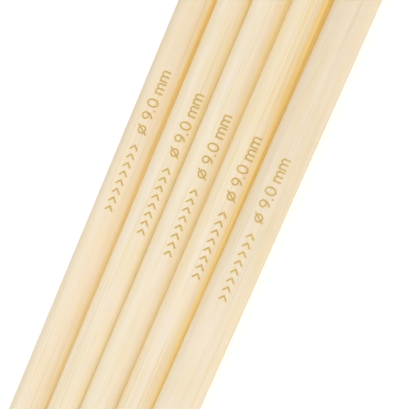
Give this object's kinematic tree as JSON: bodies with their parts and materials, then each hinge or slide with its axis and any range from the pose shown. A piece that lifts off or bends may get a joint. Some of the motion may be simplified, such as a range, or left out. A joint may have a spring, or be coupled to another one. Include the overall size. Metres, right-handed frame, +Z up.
{
  "type": "double pointed knitting needles",
  "caption": "Set of loose bamboo knitting needles with a blunt cone at both ends, lying side by side in a slight fan.",
  "frame": {"origin": "middle of the set's footprint, on the surface that the needles lie on", "axes": "+X along the middle needle, towards the end where the fan opens; +Y from needle_5 towards needle_1; +Z up"},
  "size_m": [0.2076, 0.0576, 0.009],
  "materials": {
    "bamboo": "satin"
  },
  "bodies": {
    "needle_1": {"needle_1": "bamboo"},
    "needle_2": {"needle_2": "bamboo"},
    "needle_3": {"needle_3": "bamboo"},
    "needle_4": {"needle_4": "bamboo"},
    "needle_5": {"needle_5": "bamboo"}
  },
  "joints": [
    {"name": "lift_1", "type": "slide", "parent": "needle_3", "child": "needle_1", "axis": [0, 0, 1], "range_m": [0, 0.05]},
    {"name": "lift_2", "type": "slide", "parent": "needle_3", "child": "needle_2", "axis": [0, 0, 1], "range_m": [0, 0.05]},
    {"name": "lift_4", "type": "slide", "parent": "needle_3", "child": "needle_4", "axis": [0, 0, 1], "range_m": [0, 0.05]},
    {"name": "lift_5", "type": "slide", "parent": "needle_3", "child": "needle_5", "axis": [0, 0, 1], "range_m": [0, 0.05]}
  ]
}
